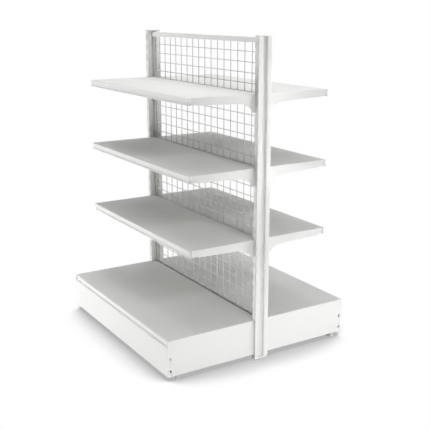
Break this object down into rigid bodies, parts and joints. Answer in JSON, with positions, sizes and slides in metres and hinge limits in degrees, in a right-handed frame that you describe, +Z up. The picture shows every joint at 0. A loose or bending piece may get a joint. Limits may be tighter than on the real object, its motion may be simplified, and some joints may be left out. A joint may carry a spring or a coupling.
{
  "type": "gondola shelving",
  "caption": "White double-sided gondola shelving bay: slotted uprights, wire mesh spine, hung shelves on cantilever brackets, closed base with decks and levelling feet",
  "frame": {"origin": "floor level under the middle of the bay", "axes": "+X along the bay towards the upright nearest the camera in the picture, +Y across the bay to side b, +Z up"},
  "size_m": [0.964, 0.892, 1.35],
  "materials": {
    "white_paint": "satin powder coat",
    "wire_coat": "satin powder coat",
    "ticket_plastic": "smooth",
    "white_plastic": "fine moulded texture",
    "zinc_steel": "bright zinc plate",
    "foot_plastic": "moulded"
  },
  "bodies": {
    "frame": {"upright_left": "white_paint", "upright_cap_left": "white_plastic", "upright_plug_left": "white_plastic", "upright_right": "white_paint", "upright_cap_right": "white_plastic", "upright_plug_right": "white_plastic", "top_rail": "white_paint", "bottom_rail": "white_paint", "wire_mesh_panel": "wire_coat", "kick_plate_a": "white_paint", "leg_a_left": "white_paint", "foot_nut_a_left": "zinc_steel", "leg_a_right": "white_paint", "foot_nut_a_right": "zinc_steel", "kick_plate_b": "white_paint", "leg_b_left": "white_paint", "foot_nut_b_left": "zinc_steel", "leg_b_right": "white_paint", "foot_nut_b_right": "zinc_steel"},
    "shelf_unit_a1": {"shelf_a1": "white_paint", "ticket_rail_a1": "ticket_plastic", "bracket_a1_left": "white_paint", "bracket_a1_right": "white_paint"},
    "shelf_unit_a2": {"shelf_a2": "white_paint", "ticket_rail_a2": "ticket_plastic", "bracket_a2_left": "white_paint", "bracket_a2_right": "white_paint"},
    "shelf_unit_a3": {"shelf_a3": "white_paint", "ticket_rail_a3": "ticket_plastic", "bracket_a3_left": "white_paint", "bracket_a3_right": "white_paint"},
    "deck_unit_a": {"deck_a": "white_paint", "deck_ticket_rail_a": "ticket_plastic"},
    "foot_a_left": {"foot_pad_a_left": "foot_plastic"},
    "stud_a_left": {"foot_stud_a_left": "zinc_steel"},
    "foot_a_right": {"foot_pad_a_right": "foot_plastic"},
    "stud_a_right": {"foot_stud_a_right": "zinc_steel"},
    "shelf_unit_b1": {"shelf_b1": "white_paint", "ticket_rail_b1": "ticket_plastic", "bracket_b1_left": "white_paint", "bracket_b1_right": "white_paint"},
    "shelf_unit_b2": {"shelf_b2": "white_paint", "ticket_rail_b2": "ticket_plastic", "bracket_b2_left": "white_paint", "bracket_b2_right": "white_paint"},
    "shelf_unit_b3": {"shelf_b3": "white_paint", "ticket_rail_b3": "ticket_plastic", "bracket_b3_left": "white_paint", "bracket_b3_right": "white_paint"},
    "deck_unit_b": {"deck_b": "white_paint", "deck_ticket_rail_b": "ticket_plastic"},
    "foot_b_left": {"foot_pad_b_left": "foot_plastic"},
    "stud_b_left": {"foot_stud_b_left": "zinc_steel"},
    "foot_b_right": {"foot_pad_b_right": "foot_plastic"},
    "stud_b_right": {"foot_stud_b_right": "zinc_steel"}
  },
  "joints": [
    {"name": "shelf_a1_lift", "type": "slide", "parent": "frame", "child": "shelf_unit_a1", "axis": [0, 0, 1], "range_m": [0, 0.011]},
    {"name": "shelf_a2_lift", "type": "slide", "parent": "frame", "child": "shelf_unit_a2", "axis": [0, 0, 1], "range_m": [0, 0.011]},
    {"name": "shelf_a3_lift", "type": "slide", "parent": "frame", "child": "shelf_unit_a3", "axis": [0, 0, 1], "range_m": [0, 0.011]},
    {"name": "deck_a_lift", "type": "slide", "parent": "frame", "child": "deck_unit_a", "axis": [0, 0, 1], "range_m": [0, 0.2]},
    {"name": "foot_a_left_lower", "type": "slide", "parent": "frame", "child": "foot_a_left", "axis": [0, 0, -1], "range_m": [0, 0.015]},
    {"name": "stud_a_left_turn", "type": "hinge", "parent": "foot_a_left", "child": "stud_a_left", "pos_m": [-0.4553, -0.4, 0.03], "axis": [0, 0, -1], "range_deg": [0, 3600]},
    {"name": "foot_a_right_lower", "type": "slide", "parent": "frame", "child": "foot_a_right", "axis": [0, 0, -1], "range_m": [0, 0.015]},
    {"name": "stud_a_right_turn", "type": "hinge", "parent": "foot_a_right", "child": "stud_a_right", "pos_m": [0.4553, -0.4, 0.03], "axis": [0, 0, -1], "range_deg": [0, 3600]},
    {"name": "shelf_b1_lift", "type": "slide", "parent": "frame", "child": "shelf_unit_b1", "axis": [0, 0, 1], "range_m": [0, 0.011]},
    {"name": "shelf_b2_lift", "type": "slide", "parent": "frame", "child": "shelf_unit_b2", "axis": [0, 0, 1], "range_m": [0, 0.011]},
    {"name": "shelf_b3_lift", "type": "slide", "parent": "frame", "child": "shelf_unit_b3", "axis": [0, 0, 1], "range_m": [0, 0.011]},
    {"name": "deck_b_lift", "type": "slide", "parent": "frame", "child": "deck_unit_b", "axis": [0, 0, 1], "range_m": [0, 0.2]},
    {"name": "foot_b_left_lower", "type": "slide", "parent": "frame", "child": "foot_b_left", "axis": [0, 0, -1], "range_m": [0, 0.015]},
    {"name": "stud_b_left_turn", "type": "hinge", "parent": "foot_b_left", "child": "stud_b_left", "pos_m": [-0.4553, 0.4, 0.03], "axis": [0, 0, -1], "range_deg": [0, 3600]},
    {"name": "foot_b_right_lower", "type": "slide", "parent": "frame", "child": "foot_b_right", "axis": [0, 0, -1], "range_m": [0, 0.015]},
    {"name": "stud_b_right_turn", "type": "hinge", "parent": "foot_b_right", "child": "stud_b_right", "pos_m": [0.4553, 0.4, 0.03], "axis": [0, 0, -1], "range_deg": [0, 3600]}
  ],
  "couplings": [
    {"joint": "stud_a_left_turn", "follows": "foot_a_left_lower", "rad_per_m": 4188.8},
    {"joint": "stud_a_right_turn", "follows": "foot_a_right_lower", "rad_per_m": 4188.8},
    {"joint": "stud_b_left_turn", "follows": "foot_b_left_lower", "rad_per_m": 4188.8},
    {"joint": "stud_b_right_turn", "follows": "foot_b_right_lower", "rad_per_m": 4188.8}
  ]
}
